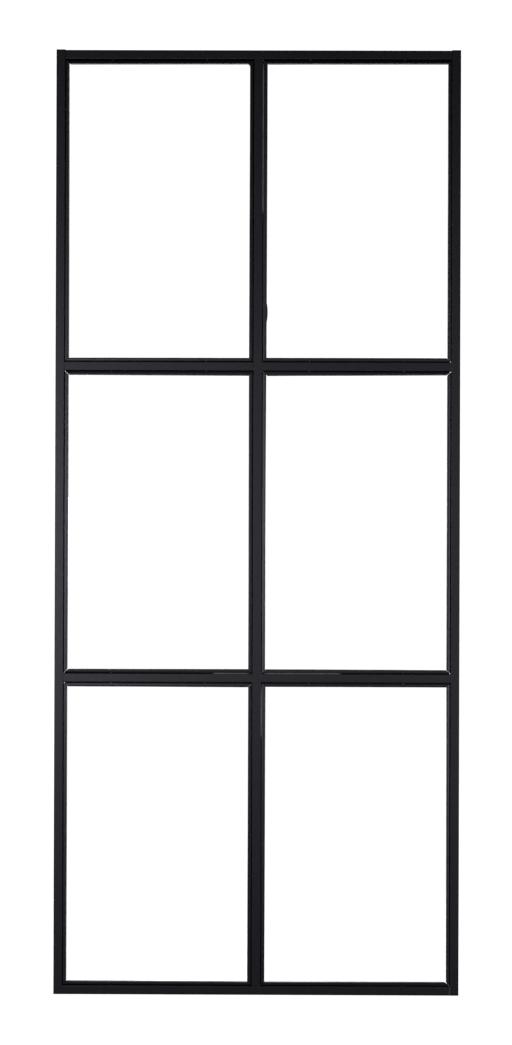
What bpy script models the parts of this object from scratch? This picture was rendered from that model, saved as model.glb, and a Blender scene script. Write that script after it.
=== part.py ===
"""Interior glass partition: a slim black steel grid holding two columns by three rows of fixed panes.

Metres, +Z up. The front, which carries the clip-on glazing beads, faces -Y, and the origin is at the
middle of the bottom rail's underside, halfway through the frame's depth.
"""

import math

import bmesh
import bpy

# Overall size
WIDTH = 0.900                # outside face to outside face of the stiles
HEIGHT = 2.100               # floor to the top of the stile caps

# Steel tube that every bar is cut from
BAR_FACE = 0.020             # width seen from the front
BAR_DEPTH = 0.040
BAR_WALL = 0.0015
BAR_CORNER_RADIUS = 0.0016
BAR_BUTT_GAP = 0.0003        # between a bar's end and the face that it butts against

# Glass
GLASS_THICKNESS = 0.006
GLASS_EDGE = 0.003           # from the bars' sides to the edge of the glass
GLASS_ARRIS = 0.0004         # ground-off edge

# Gasket, a channel that wraps the glass edge
GASKET_SIDE = 0.0014         # thickness against each face of the glass
GASKET_PROUD = 0.0007        # how far it shows past the rear stops, which is less than the beads' reach
CONTACT_GAP = 0.0003         # between pieces that touch on the real object

# Rear stop, a folded steel channel welded to the bars
STOP_REACH = 0.0075          # how far it stands out from the bar
STOP_SETBACK = 0.0020        # behind the bar's rear face
STOP_WALL = 0.0015
STOP_MITRE_GAP = 0.0024      # open joint where two stops meet at a corner
WELD_OVERLAP = 0.0007        # how far stops and studs run into the bar's wall

# Front bead, a folded steel channel that clips over studs
BEAD_REACH = 0.0090          # from the bar's face to the bead's edge on the glass
BEAD_JOINT = 0.0014          # open line between the bead and the bar
BEAD_SETBACK = 0.0020        # behind the bar's front face
BEAD_WALL = 0.0012
BEAD_FOLD_RADIUS = 0.0009    # outer radius of the front fold
BEAD_MITRE_GAP = 0.0004

# Studs that the beads clip onto
STUD_RADIUS = 0.0035
JAMB_STUD_COUNT = 3
HEAD_STUD_COUNT = 2          # on heads and sills

# Bulge on the edge of one bead, low on the left side of the top right pane
BULGE_LENGTH = 0.053
BULGE_RISE = 0.0030
BULGE_DEPTH = 0.006
BULGE_ABOVE_TRANSOM = 0.102  # from the top of the transom below it to its middle
BULGE_OVERLAP = 0.0006       # how far it runs into the bead's wall

# Plastic caps in the open tops of the stiles
CAP_PLATE = 0.0008
CAP_PLUG_DEPTH = 0.012
CAP_EDGE_BEVEL = 0.0003

ARC_STEPS = 4                # straight pieces in each rounded corner
BULGE_STEPS = 12
STUD_SIDES = 12

COLUMNS = ("left", "right")
ROWS = ("bottom", "middle", "top")

# Sizes that follow from those above
TUBE_TOP = HEIGHT - CAP_PLATE - CONTACT_GAP
GASKET_REACH = STOP_REACH + GASKET_PROUD
CHANNEL_HALF_DEPTH = GLASS_THICKNESS / 2 + GASKET_SIDE + 2 * CONTACT_GAP
PANE_WIDTH = (WIDTH - (len(COLUMNS) + 1) * BAR_FACE) / len(COLUMNS)
PANE_HEIGHT = (TUBE_TOP - (len(ROWS) + 1) * BAR_FACE) / len(ROWS)

# Turn about Y that carries a strip drawn for a left jamb to each side of a pane
SIDE_TURNS = {
    "jamb_left": 0.0,
    "jamb_right": math.pi,
    "sill": -math.pi / 2,
    "head": math.pi / 2,
}


def clear_scene():
    """Start from an empty file."""
    for scene_object in list(bpy.data.objects):
        bpy.data.objects.remove(scene_object, do_unlink=True)


def new_collection(name):
    collection = bpy.data.collections.new(name)
    bpy.context.scene.collection.children.link(collection)
    return collection


def make_material(name, colour, roughness, metallic=0.0, transmission=0.0):
    material = bpy.data.materials.new(name)
    material.use_nodes = True
    shader = material.node_tree.nodes["Principled BSDF"]
    shader.inputs["Base Color"].default_value = (*colour, 1.0)
    shader.inputs["Roughness"].default_value = roughness
    shader.inputs["Metallic"].default_value = metallic
    shader.inputs["Transmission Weight"].default_value = transmission
    return material


def rounded_rectangle(width, depth, radius):
    """Points round a rectangle about the origin with its corners rounded."""
    points = []
    corners = ((1, 1, 0.0), (-1, 1, 0.5), (-1, -1, 1.0), (1, -1, 1.5))
    for side_x, side_y, start in corners:
        centre_x = side_x * (width / 2 - radius)
        centre_y = side_y * (depth / 2 - radius)
        for step in range(ARC_STEPS + 1):
            angle = math.pi * (start + 0.5 * step / ARC_STEPS)
            points.append((centre_x + radius * math.cos(angle), centre_y + radius * math.sin(angle)))
    return points


def rectangle(width, depth):
    """Points round a square-cornered rectangle about the origin."""
    return [(width / 2, depth / 2), (-width / 2, depth / 2), (-width / 2, -depth / 2), (width / 2, -depth / 2)]


def extruded_mesh(name, loops, length):
    """A closed mesh of a flat outline, with holes, extruded by length about z = 0."""
    curve = bpy.data.curves.new(name, "CURVE")
    curve.dimensions = "2D"
    curve.fill_mode = "BOTH"
    curve.extrude = length / 2
    for loop in loops:
        spline = curve.splines.new("POLY")
        spline.points.add(len(loop) - 1)
        for point, (x, y) in zip(spline.points, loop):
            point.co = (x, y, 0.0, 1.0)
        spline.use_cyclic_u = True
    outline = bpy.data.objects.new(name, curve)
    bpy.context.scene.collection.objects.link(outline)
    bpy.context.view_layer.update()
    evaluated = outline.evaluated_get(bpy.context.evaluated_depsgraph_get())
    mesh = bpy.data.meshes.new_from_object(evaluated)
    bpy.data.objects.remove(outline, do_unlink=True)
    bpy.data.curves.remove(curve)
    solid = bmesh.new()
    solid.from_mesh(mesh)
    bmesh.ops.remove_doubles(solid, verts=solid.verts, dist=0.00001)
    bmesh.ops.recalc_face_normals(solid, faces=solid.faces)
    solid.to_mesh(mesh)
    solid.free()
    mesh.name = name
    mesh.materials.clear()
    return mesh


def place(name, mesh, collection, location=(0.0, 0.0, 0.0), turn=0.0, material=None):
    """A named object for a mesh, turned about Y and moved to its place."""
    placed = bpy.data.objects.new(name, mesh)
    placed.location = location
    placed.rotation_euler = (0.0, turn, 0.0)
    if material is not None:
        mesh.materials.append(material)
    collection.objects.link(placed)
    return placed


def combine(target, tool, operation):
    """Join or cut target with tool, which stays in the file as a guide."""
    tool.hide_render = True
    tool.display_type = "WIRE"
    modifier = target.modifiers.new(tool.name, "BOOLEAN")
    modifier.operation = operation
    modifier.solver = "EXACT"
    modifier.object = tool


def stop_section():
    """Rear stop: a channel that opens towards the bar. x is the reach from the bar's side."""
    front = CHANNEL_HALF_DEPTH
    back = BAR_DEPTH / 2 - STOP_SETBACK
    root = -WELD_OVERLAP
    return [
        (root, front),
        (STOP_REACH, front),
        (STOP_REACH, back),
        (root, back),
        (root, back - STOP_WALL),
        (STOP_REACH - STOP_WALL, back - STOP_WALL),
        (STOP_REACH - STOP_WALL, front + STOP_WALL),
        (root, front + STOP_WALL),
    ]


def bead_section():
    """Front bead: a channel that opens towards the bar, with a rounded fold at its front edge."""
    front = -(BAR_DEPTH / 2 - BEAD_SETBACK)
    back = -CHANNEL_HALF_DEPTH
    fold = []
    for step in range(ARC_STEPS + 1):
        angle = -math.pi / 2 * (1 - step / ARC_STEPS)
        fold.append((
            BEAD_REACH - BEAD_FOLD_RADIUS * (1 - math.cos(angle)),
            front + BEAD_FOLD_RADIUS * (1 + math.sin(angle)),
        ))
    return [
        (BEAD_JOINT, front),
        *fold,
        (BEAD_REACH, back),
        (BEAD_JOINT, back),
        (BEAD_JOINT, back - BEAD_WALL),
        (BEAD_REACH - BEAD_WALL, back - BEAD_WALL),
        (BEAD_REACH - BEAD_WALL, front + BEAD_WALL),
        (BEAD_JOINT, front + BEAD_WALL),
    ]


def mitred_strip(name, section, length, mitre_gap):
    """A section run along one side of a pane, its ends cut back along the corners' diagonals."""
    mesh = extruded_mesh(name, [section], length)
    for vertex in mesh.vertices:
        end = length / 2 - vertex.co.x - mitre_gap / math.sqrt(2)
        vertex.co.z = math.copysign(end, vertex.co.z)
    return mesh


def stud_mesh(name):
    """A round stud that stands out of a bar's side, between the flanges of its bead."""
    reach = BEAD_REACH - BEAD_WALL - CONTACT_GAP
    length = reach + WELD_OVERLAP
    solid = bmesh.new()
    bmesh.ops.create_cone(
        solid, cap_ends=True, segments=STUD_SIDES, radius1=STUD_RADIUS, radius2=STUD_RADIUS, depth=length
    )
    for vertex in solid.verts:
        across, along = vertex.co.x, vertex.co.z
        vertex.co.x = along + length / 2 - WELD_OVERLAP
        vertex.co.z = -across
        vertex.co.y += -(BAR_DEPTH / 2 - BEAD_SETBACK + CHANNEL_HALF_DEPTH) / 2
    mesh = bpy.data.meshes.new(name)
    solid.to_mesh(mesh)
    solid.free()
    return mesh


class Pane:
    """The opening between four bars, named by its row and column."""

    def __init__(self, row, column):
        self.name = f"{ROWS[row]}_{COLUMNS[column]}"
        self.left = -WIDTH / 2 + BAR_FACE + column * (PANE_WIDTH + BAR_FACE)
        self.foot = BAR_FACE + row * (PANE_HEIGHT + BAR_FACE)
        self.centre = (self.left + PANE_WIDTH / 2, 0.0, self.foot + PANE_HEIGHT / 2)

    def side(self, side):
        """Middle of one side of the opening, on the bar's face, and that side's length."""
        x, y, z = self.centre
        return {
            "jamb_left": ((self.left, y, z), PANE_HEIGHT),
            "jamb_right": ((self.left + PANE_WIDTH, y, z), PANE_HEIGHT),
            "sill": ((x, y, self.foot), PANE_WIDTH),
            "head": ((x, y, self.foot + PANE_HEIGHT), PANE_WIDTH),
        }[side]


def add_to(solid, mesh, location, turn):
    """Copy a mesh into a larger one at a place, turned about Y."""
    first = len(solid.verts)
    solid.from_mesh(mesh)
    solid.verts.ensure_lookup_table()
    cosine, sine = math.cos(turn), math.sin(turn)
    for vertex in solid.verts[first:]:
        x, y, z = vertex.co
        vertex.co = (
            location[0] + x * cosine + z * sine,
            location[1] + y,
            location[2] - x * sine + z * cosine,
        )
    bpy.data.meshes.remove(mesh)


def welded_pieces(name, sides):
    """The rear stops and bead studs on one bar, for each pane side that the bar carries."""
    solid = bmesh.new()
    for pane, side in sides:
        middle, length = pane.side(side)
        turn = SIDE_TURNS[side]
        add_to(solid, mitred_strip("stop", stop_section(), length, STOP_MITRE_GAP), middle, turn)
        studs = JAMB_STUD_COUNT if side.startswith("jamb") else HEAD_STUD_COUNT
        for number in range(studs):
            along = length * ((number + 0.5) / studs - 0.5)
            x, y, z = middle
            at = (x, y, z + along) if side.startswith("jamb") else (x + along, y, z)
            add_to(solid, stud_mesh("stud"), at, turn)
    mesh = bpy.data.meshes.new(name)
    solid.to_mesh(mesh)
    solid.free()
    return mesh


def bar(name, centre, length, turn, sides, parts, guides, material):
    """One length of tube with its welded stops and studs."""
    outer = rounded_rectangle(BAR_FACE, BAR_DEPTH, BAR_CORNER_RADIUS)
    inner = rectangle(BAR_FACE - 2 * BAR_WALL, BAR_DEPTH - 2 * BAR_WALL)
    mesh = extruded_mesh(name, [outer, inner], length)
    tube = place(name, mesh, parts, centre, turn, material)
    welded = place(f"{name}_welded", welded_pieces(f"{name}_welded", sides), guides)
    combine(tube, welded, "UNION")
    return tube


def make_bars(panes, parts, guides, material):
    upright = 0.0
    level = math.pi / 2
    stile_x = (WIDTH - BAR_FACE) / 2
    stile_centre = TUBE_TOP / 2
    last_column = len(COLUMNS) - 1
    for name, x, column, side in (
        ("stile_left", -stile_x, 0, "jamb_left"),
        ("stile_right", stile_x, last_column, "jamb_right"),
    ):
        sides = [(panes[row, column], side) for row in range(len(ROWS))]
        bar(name, (x, 0.0, stile_centre), TUBE_TOP, upright, sides, parts, guides, material)

    rail_length = WIDTH - 2 * BAR_FACE - 2 * BAR_BUTT_GAP
    for name, z, row, side in (
        ("bottom_rail", BAR_FACE / 2, 0, "sill"),
        ("top_rail", TUBE_TOP - BAR_FACE / 2, len(ROWS) - 1, "head"),
    ):
        sides = [(panes[row, column], side) for column in range(len(COLUMNS))]
        bar(name, (0.0, 0.0, z), rail_length, level, sides, parts, guides, material)

    mullion_length = TUBE_TOP - 2 * BAR_FACE - 2 * BAR_BUTT_GAP
    sides = [(panes[row, 0], "jamb_right") for row in range(len(ROWS))]
    sides += [(panes[row, 1], "jamb_left") for row in range(len(ROWS))]
    bar("mullion", (0.0, 0.0, stile_centre), mullion_length, upright, sides, parts, guides, material)

    transom_length = PANE_WIDTH - 2 * BAR_BUTT_GAP
    for row, height_name in ((1, "lower"), (2, "upper")):
        for column, column_name in enumerate(COLUMNS):
            above = panes[row, column]
            below = panes[row - 1, column]
            centre = (above.centre[0], 0.0, above.foot - BAR_FACE / 2)
            sides = [(above, "sill"), (below, "head")]
            name = f"transom_{height_name}_{column_name}"
            bar(name, centre, transom_length, level, sides, parts, guides, material)


def box_mesh(name, size_x, size_y, size_z):
    solid = bmesh.new()
    bmesh.ops.create_cube(solid, size=1.0)
    bmesh.ops.scale(solid, vec=(size_x, size_y, size_z), verts=solid.verts)
    mesh = bpy.data.meshes.new(name)
    solid.to_mesh(mesh)
    solid.free()
    return mesh


def make_glass(pane, parts, material):
    width = PANE_WIDTH - 2 * GLASS_EDGE
    height = PANE_HEIGHT - 2 * GLASS_EDGE
    name = f"glass_{pane.name}"
    glass = place(name, box_mesh(name, width, GLASS_THICKNESS, height), parts, pane.centre, 0.0, material)
    arris = glass.modifiers.new("arris", "BEVEL")
    arris.width = GLASS_ARRIS
    arris.segments = 1


def make_gasket(pane, parts, guides, material):
    """A rubber channel all round the pane, grooved for the glass edge."""
    name = f"gasket_{pane.name}"
    outline = rectangle(PANE_WIDTH - 2 * CONTACT_GAP, PANE_HEIGHT - 2 * CONTACT_GAP)
    sight = rectangle(PANE_WIDTH - 2 * GASKET_REACH, PANE_HEIGHT - 2 * GASKET_REACH)
    mesh = extruded_mesh(name, [outline, sight], GLASS_THICKNESS + 2 * GASKET_SIDE + 2 * CONTACT_GAP)
    for vertex in mesh.vertices:
        x, y, z = vertex.co
        vertex.co = (x, -z, y)
    ring = place(name, mesh, parts, pane.centre, 0.0, material)
    groove = place(
        f"{name}_groove",
        box_mesh(
            f"{name}_groove",
            PANE_WIDTH - 2 * (GLASS_EDGE - CONTACT_GAP),
            GLASS_THICKNESS + 2 * CONTACT_GAP,
            PANE_HEIGHT - 2 * (GLASS_EDGE - CONTACT_GAP),
        ),
        guides,
        pane.centre,
    )
    combine(ring, groove, "DIFFERENCE")


def bulge_mesh(name):
    """A shallow round-backed bulge, drawn like a left jamb's strip with its length along z."""
    radius = BULGE_LENGTH ** 2 / (8 * BULGE_RISE) + BULGE_RISE / 2
    half_angle = math.asin(BULGE_LENGTH / 2 / radius)
    points = [(-BULGE_OVERLAP, -BULGE_LENGTH / 2)]
    for step in range(BULGE_STEPS + 1):
        angle = half_angle * (2 * step / BULGE_STEPS - 1)
        points.append((radius * math.cos(angle) - radius + BULGE_RISE, radius * math.sin(angle)))
    points.append((-BULGE_OVERLAP, BULGE_LENGTH / 2))
    mesh = extruded_mesh(name, [points], BULGE_DEPTH)
    for vertex in mesh.vertices:
        x, y, z = vertex.co
        vertex.co = (x, -z, y)
    return mesh


def make_beads(pane, parts, guides, material):
    """Four mitred beads round one pane."""
    for side, turn in SIDE_TURNS.items():
        middle, length = pane.side(side)
        name = f"bead_{pane.name}_{side}"
        mesh = mitred_strip(name, bead_section(), length, BEAD_MITRE_GAP)
        bead = place(name, mesh, parts, middle, turn, material)
        if name == "bead_top_right_jamb_left":
            front = -(BAR_DEPTH / 2 - BEAD_SETBACK) + BEAD_FOLD_RADIUS
            location = (middle[0] + BEAD_REACH, front + BULGE_DEPTH / 2, pane.foot + BULGE_ABOVE_TRANSOM)
            bulge = place(f"{name}_bulge", bulge_mesh(f"{name}_bulge"), guides, location)
            combine(bead, bulge, "UNION")


def make_caps(parts, guides, material):
    """A flat cap with a plug that drops into each stile's open top."""
    for name, side in (("stile_cap_left", -1), ("stile_cap_right", 1)):
        x = side * (WIDTH - BAR_FACE) / 2
        outline = rounded_rectangle(BAR_FACE, BAR_DEPTH, BAR_CORNER_RADIUS)
        plate_mesh = extruded_mesh(name, [outline], CAP_PLATE)
        plate = place(name, plate_mesh, parts, (x, 0.0, HEIGHT - CAP_PLATE / 2), 0.0, material)
        plug_height = CAP_PLUG_DEPTH + CAP_PLATE / 2
        plug_mesh = box_mesh(
            f"{name}_plug",
            BAR_FACE - 2 * (BAR_WALL + CONTACT_GAP),
            BAR_DEPTH - 2 * (BAR_WALL + CONTACT_GAP),
            plug_height,
        )
        plug_z = HEIGHT - CAP_PLATE / 2 - plug_height / 2
        plug = place(f"{name}_plug", plug_mesh, guides, (x, 0.0, plug_z))
        combine(plate, plug, "UNION")
        edge = plate.modifiers.new("edge", "BEVEL")
        edge.width = CAP_EDGE_BEVEL
        edge.segments = 1


def main():
    clear_scene()
    parts = new_collection("interior_glass_partition")
    guides = new_collection("guides")
    frame_paint = make_material("frame_paint", (0.020, 0.019, 0.023), 0.45)
    bead_paint = make_material("bead_paint", (0.023, 0.022, 0.026), 0.42)
    clear_glass = make_material("clear_glass", (0.96, 0.98, 0.97), 0.02, transmission=1.0)
    rubber = make_material("gasket_rubber", (0.010, 0.010, 0.011), 0.80)
    plastic = make_material("cap_plastic", (0.016, 0.016, 0.017), 0.55)
    panes = {(row, column): Pane(row, column) for row in range(len(ROWS)) for column in range(len(COLUMNS))}
    make_bars(panes, parts, guides, frame_paint)
    for pane in panes.values():
        make_glass(pane, parts, clear_glass)
        make_gasket(pane, parts, guides, rubber)
        make_beads(pane, parts, guides, bead_paint)
    make_caps(parts, guides, plastic)


main()
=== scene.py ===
"""Looks for the interior glass partition: finishes, glazing beads, gaskets, welds and a plain studio.

Metres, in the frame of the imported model: +Z up, the bead side faces -Y.
"""

import math

import bmesh
import bpy
from mathutils import Matrix, Vector


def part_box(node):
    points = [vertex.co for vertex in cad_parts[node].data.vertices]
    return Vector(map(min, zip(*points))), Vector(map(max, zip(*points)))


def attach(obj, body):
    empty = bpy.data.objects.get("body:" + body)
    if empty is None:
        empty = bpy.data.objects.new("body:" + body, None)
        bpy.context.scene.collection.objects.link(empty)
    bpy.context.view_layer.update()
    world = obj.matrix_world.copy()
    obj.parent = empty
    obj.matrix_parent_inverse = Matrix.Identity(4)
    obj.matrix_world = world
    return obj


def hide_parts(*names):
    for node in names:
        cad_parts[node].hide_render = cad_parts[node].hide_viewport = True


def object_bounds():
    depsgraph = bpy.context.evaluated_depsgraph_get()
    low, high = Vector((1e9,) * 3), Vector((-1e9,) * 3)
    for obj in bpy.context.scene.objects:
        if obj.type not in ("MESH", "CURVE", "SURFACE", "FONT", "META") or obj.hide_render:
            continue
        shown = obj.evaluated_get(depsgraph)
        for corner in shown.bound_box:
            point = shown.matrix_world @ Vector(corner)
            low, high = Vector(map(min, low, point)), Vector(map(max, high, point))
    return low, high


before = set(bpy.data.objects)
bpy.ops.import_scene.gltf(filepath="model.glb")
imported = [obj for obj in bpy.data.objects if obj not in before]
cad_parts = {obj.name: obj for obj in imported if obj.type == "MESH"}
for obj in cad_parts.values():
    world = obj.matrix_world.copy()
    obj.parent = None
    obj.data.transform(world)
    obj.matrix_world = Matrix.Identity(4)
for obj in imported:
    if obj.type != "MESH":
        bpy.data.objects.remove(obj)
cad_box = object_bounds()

BODY = "root"
PANES = [f"{row}_{column}" for row in ("top", "middle", "bottom") for column in ("left", "right")]
SIDES = ("jamb_left", "jamb_right", "sill", "head")
CONTACT_GAP = 0.0003         # the model's gap between a gasket and what it touches
ROOT_HALF = math.sqrt(0.5)
MM = 0.001
SHARP_ANGLE = 40.0           # degrees between two faces, from which their edge shows as a crease

# The slow wave of a strip that isn't quite straight: two sines, each with its height, its turns along
# the strip, and its shift as a multiple of the start that the strip's name gives
WANDER_SINES = ((0.6, 0.9, 1.0), (0.4, 2.3, 2.0))
WANDER_STARTS = 97           # different starts that the names are spread over

# Camera, solved from the frame's corners and crossings in the photograph
CAMERA_PLACE = (0.162, -13.0, 0.931)
CAMERA_YAW = 0.7275          # degrees, anticlockwise from above
CAMERA_PITCH = 0.520         # degrees upwards
CAMERA_ROLL = -0.186         # degrees
CAMERA_FOCAL_PIXELS = 5843.4
PHOTO_HEIGHT = 1045          # pixels
SENSOR = 36.0                # long side of the sensor in millimetres
CAMERA_REACH = 120.0         # metres, past the backdrop

# Glazing beads, folded from thin sheet
BEAD_WALL = 0.0012
BEAD_FOLD = 0.0010           # outer radius of the fold on the glass side
BEAD_INNER_FOLD = 0.0002     # inner radius of the same fold
BEAD_LIP = 0.0004            # rounding of the free edge along the joint
BEAD_STATIONS = 24           # straight pieces along a bead
BEAD_BOW = 0.00012           # how far a bead wanders from straight
FLAT_MARGIN = 0.00015        # where a flat face starts beside a rounded edge
FOLD_STEPS = 5
LIP_STEPS = 3

# Mitre gaps in millimetres: at the bar's corner, halfway and at the glass side. The corners that aren't
# listed are tight.
TIGHT_MITRE = (0.4, 0.4, 0.4)
OPEN_MITRES = {
    ("middle_left", "head", "jamb_left"): (0.6, 0.6, 0.5),
    ("middle_left", "sill", "jamb_left"): (0.7, 0.1, 1.5),
    ("middle_right", "head", "jamb_right"): (1.3, 0.2, 0.9),
    ("middle_right", "head", "jamb_left"): (0.1, 0.4, 0.1),
    ("middle_right", "sill", "jamb_right"): (0.9, 0.0, 0.5),
    ("bottom_left", "head", "jamb_left"): (0.9, 0.2, 0.3),
    ("bottom_right", "sill", "jamb_right"): (0.9, 0.2, 1.4),
    ("top_right", "sill", "jamb_right"): (0.7, 0.5, 1.0),
}

# How each bead sits, in millimetres. First come the joint beside the bar, and the reach of the gasket's
# lip that shows beyond the bead's edge, each at the bead's lower or left end and at its other end. The
# last number is its lean: how far the glass side of its face stands forward of the joint side.
USUAL_JOINT = 1.6
USUAL_REACH = 9.0
LIP_SHOWS = 0.8
BEAD_FITS = {
    ("top_left", "head"): ((3.9, 3.9), (11.5, 10.6), 0.90),
    ("top_right", "head"): ((3.7, 3.7), (10.9, 9.9), 0.70),
    ("top_left", "jamb_left"): ((1.0, 2.2), (10.0, 9.0), 0.25),
    ("top_left", "jamb_right"): ((1.9, 2.2), (9.8, 9.6), 0.25),
    ("top_right", "jamb_left"): ((1.2, 0.7), (9.4, 10.1), 0.60),
    ("top_right", "jamb_right"): ((1.5, 1.4), (8.6, 8.8), 0.40),
    ("top_left", "sill"): ((2.2, 2.3), (8.9, 9.4), 0.05),
    ("top_right", "sill"): ((2.6, 1.8), (9.7, 9.8), 0.25),
    ("middle_left", "jamb_left"): ((1.3, 1.5), (8.9, 9.4), 0.10),
    ("middle_left", "jamb_right"): ((1.6, 1.9), (9.5, 9.9), 0.15),
    ("middle_right", "jamb_left"): ((1.0, 0.9), (6.9, 9.0), 0.80),
    ("middle_right", "jamb_right"): ((1.7, 1.6), (9.0, 9.0), 0.40),
    ("middle_left", "head"): ((2.3, 1.4), (10.0, 10.9), 0.55),
    ("middle_right", "head"): ((1.0, 2.7), (11.3, 8.8), 0.25),
    ("middle_left", "sill"): ((2.0, 0.8), (9.6, 10.0), 0.50),
    ("middle_right", "sill"): ((0.7, 2.0), (9.9, 9.3), 0.00),
    ("bottom_left", "jamb_left"): ((1.5, 1.1), (8.8, 8.5), 0.30),
    ("bottom_left", "jamb_right"): ((1.9, 1.7), (9.8, 9.4), 0.20),
    ("bottom_right", "jamb_left"): ((1.9, 0.8), (8.9, 9.4), 0.50),
    ("bottom_right", "jamb_right"): ((1.5, 1.8), (7.8, 8.9), 0.60),
    ("bottom_left", "head"): ((2.3, 2.7), (10.0, 10.6), 0.00),
    ("bottom_right", "head"): ((2.8, 2.7), (9.7, 9.6), 0.00),
    ("bottom_left", "sill"): ((2.3, 1.8), (10.1, 9.2), -0.05),
    ("bottom_right", "sill"): ((1.8, 1.4), (9.0, 9.9), 0.05),
}
BEAD_CROWN = 0.18            # how far the middle of a face stands forward of its two sides
CROWN_STEPS = 8

# Pale strips that fill a joint, a painted highlight of the bar's rounded edge: pane, side and shares of
# its bead's length
HIGHLIGHT_STRIPS = (
    ("top_right", "jamb_left", 0.49, 0.985),
    ("middle_left", "sill", 0.79, 0.985),
    ("middle_right", "sill", 0.015, 0.42),
    ("bottom_right", "jamb_left", 0.82, 0.985),
)
STRIP_ON_BAR = 0.00050       # how far it laps over the bar's rounded edge
STRIP_ON_BEAD = 0.0016       # how far it reaches from the bar's side
STRIP_SWELL = (0.0008, 0.0003)  # reach, and depth from the bar's face, that its surface bends towards
STRIP_STEPS = 8
STRIP_STATIONS = 40
STRIP_TAPER = 0.02           # share of the bead's length over which each end narrows
STRIP_END_WIDTH = 0.4        # share of its width that is left at the very end

# Bulge pressed out of one bead
BULGED_BEAD = ("top_right", "jamb_left")
BULGE_LENGTH = 0.053
BULGE_RISE = 0.0030
BULGE_ABOVE_TRANSOM = 0.102
BULGE_STATIONS = 22
BULGE_FADE = (0.3, 0.8)      # shares of the bead's depth from its back, between which it grows

# Spring clips that show in the joints: pane, side and height above the floor
CLIPS = (
    ("top_right", "jamb_left", 1.801),
    ("middle_left", "jamb_left", 1.045),
    ("middle_right", "jamb_right", 1.054),
    ("bottom_left", "jamb_left", 0.374),
)
CLIP_LENGTH = 0.0034
CLIP_WIDTH = 0.0018
CLIP_DEPTH = 0.0040
CLIP_CROWN = 0.0006          # how far the middle of its nose stands forward of the bead's face
CLIP_CLEARANCE = 0.0003      # between its nose and the bar
CLIP_ROUNDING = 0.8          # how its nose narrows to its ends: 0 not at all, 1 to a point
CLIP_STATIONS = 6

# Sealant pulled across one corner of the top left pane
FILLET_PANE = "top_left"
FILLET_ACROSS = 0.0040
FILLET_DOWN = 0.0078
FILLET_STEPS = 8
FILLET_LAP = 0.0006          # how far it reaches in past the edges of the gasket's lips
FILLET_OFF_GLASS = 0.0001
FILLET_LAYERS = ((0.0040, 0.92), (0.0015, 0.55))  # depth behind the bead's face, and share of its size

# Gaskets
GASKET_UNDER_BEAD = 0.0008   # how far the rear lip stays behind the front beads' usual reach
GASKET_SHRINK = 0.6          # extra millimetres where its corner has pulled open
GASKET_CORNER_CUT = (0.1, 0.1, 0.1)  # its mitre gap in millimetres at a closed corner
GASKET_WAVER = 0.00015
GASKET_STATIONS = 16

# Ground welds in the grooves where bars butt together
BUTT_GAP = 0.0003            # the model's gap between the bars
BAR_ROUNDING = 0.0016        # the model's radius along the bars' edges
WELD_CLEARANCE = 0.00006
WELD_SINK = 0.00006          # below the bars' faces
WELD_DISH = 0.00010          # how far its middle is ground hollow
WELD_STATIONS = 20
WELD_ARC_STEPS = 4
BARE_WELD = ("bottom_rail", "right", "front")

RED_LEAN = 0.2               # change of a grey's red with its warmth, beside that of its blue


def grey(value, warmth=0.0):
    """A near-neutral linear colour; warmth below 0 leans to violet-blue."""
    return (value * (1.0 + RED_LEAN * warmth), value, value * (1.0 - warmth))


# Finishes, with linear colours, and noise scales in waves per metre
MIX_FIRST, MIX_SECOND, MIX_RESULT = 6, 7, 2  # the colour sockets of Blender's Mix node
NOISE_BAND = (0.3, 0.7)      # where most values of a noise texture lie
EDGE_SAMPLES = 4

PAINT_COLOUR = grey(0.0060, -0.20)
BEAD_COLOUR = grey(0.0065, -0.20)
PAINT_ROUGHNESS = 0.382
BEAD_ROUGHNESS = 0.34
PAINT_DARKEST = 0.75         # times the paint's colour
PAINT_PALEST = 1.27
PAINT_SLOW_SCALE = 5.0
PAINT_CLOUD_SCALE = 120.0
PAINT_FINE_SCALE = 1500.0
PAINT_SLOW_SHARE = 0.4       # what each of the three adds to the tone
PAINT_CLOUD_SHARE = 0.35
PAINT_FINE_SHARE = 0.25
PAINT_PATCHES = 0.022        # how far the roughness varies with the clouds
PAINT_GRAIN = 0.02           # how far it varies with the fine texture
PAINT_IOR = 1.5
PEEL_SCALE = 620.0
PEEL_DEPTH = 0.00003
PEEL_STRENGTH = 0.35
WEAR_COLOUR = grey(0.060, 0.0)
WEAR_RADIUS = 0.0006         # how far from an edge the paint is thin
WEAR_BEND = (0.80, 0.995)    # cosines of the bend, between full wear and none
WEAR_SCALE = 240.0
WEAR_BREAKS = (0.48, 0.68)   # noise values between which a break in the paint fades in
WEAR_STRENGTH = 0.25

RUBBER_COLOUR = grey(0.0070)
RUBBER_BLOOM = 2.2           # times its colour, where it is pale with age
RUBBER_BLOOM_SCALE = 40.0
RUBBER_BLOOM_BAND = (0.45, 0.75)
RUBBER_ROUGHNESS = (0.72, 0.86)
RUBBER_GRAIN_SCALE = 1800.0

# The joint strips: a pale, patchy painted highlight, far paler than the black paint beside it
HIGHLIGHT_STRIP_COLOUR = grey(0.300, 0.05)
HIGHLIGHT_STRIP_DARKEST = 0.65
HIGHLIGHT_STRIP_PALEST = 1.15
HIGHLIGHT_STRIP_PATCH_SCALE = 90.0
HIGHLIGHT_STRIP_ROUGHNESS = (0.60, 0.45)
HIGHLIGHT_STRIP_GRAIN_SCALE = 700.0
SOFT_GRAIN_DEPTH = 0.00004   # of rubber and sealant
SOFT_GRAIN_STRENGTH = 0.4

CAP_COLOUR = grey(0.0080)
CAP_SCUFFED = 2.5            # times its colour
CAP_SCUFF_SCALE = 130.0
CAP_SCUFF_BAND = (0.55, 0.72)
CAP_ROUGHNESS = (0.50, 0.62)
CAP_GRAIN_SCALE = 1300.0
CAP_GRAIN_DEPTH = 0.00004
CAP_GRAIN_STRENGTH = 0.5
CAP_EDGE_RADIUS = 0.0004
CAP_EDGE_BEND = (0.8, 1.0)

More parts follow.
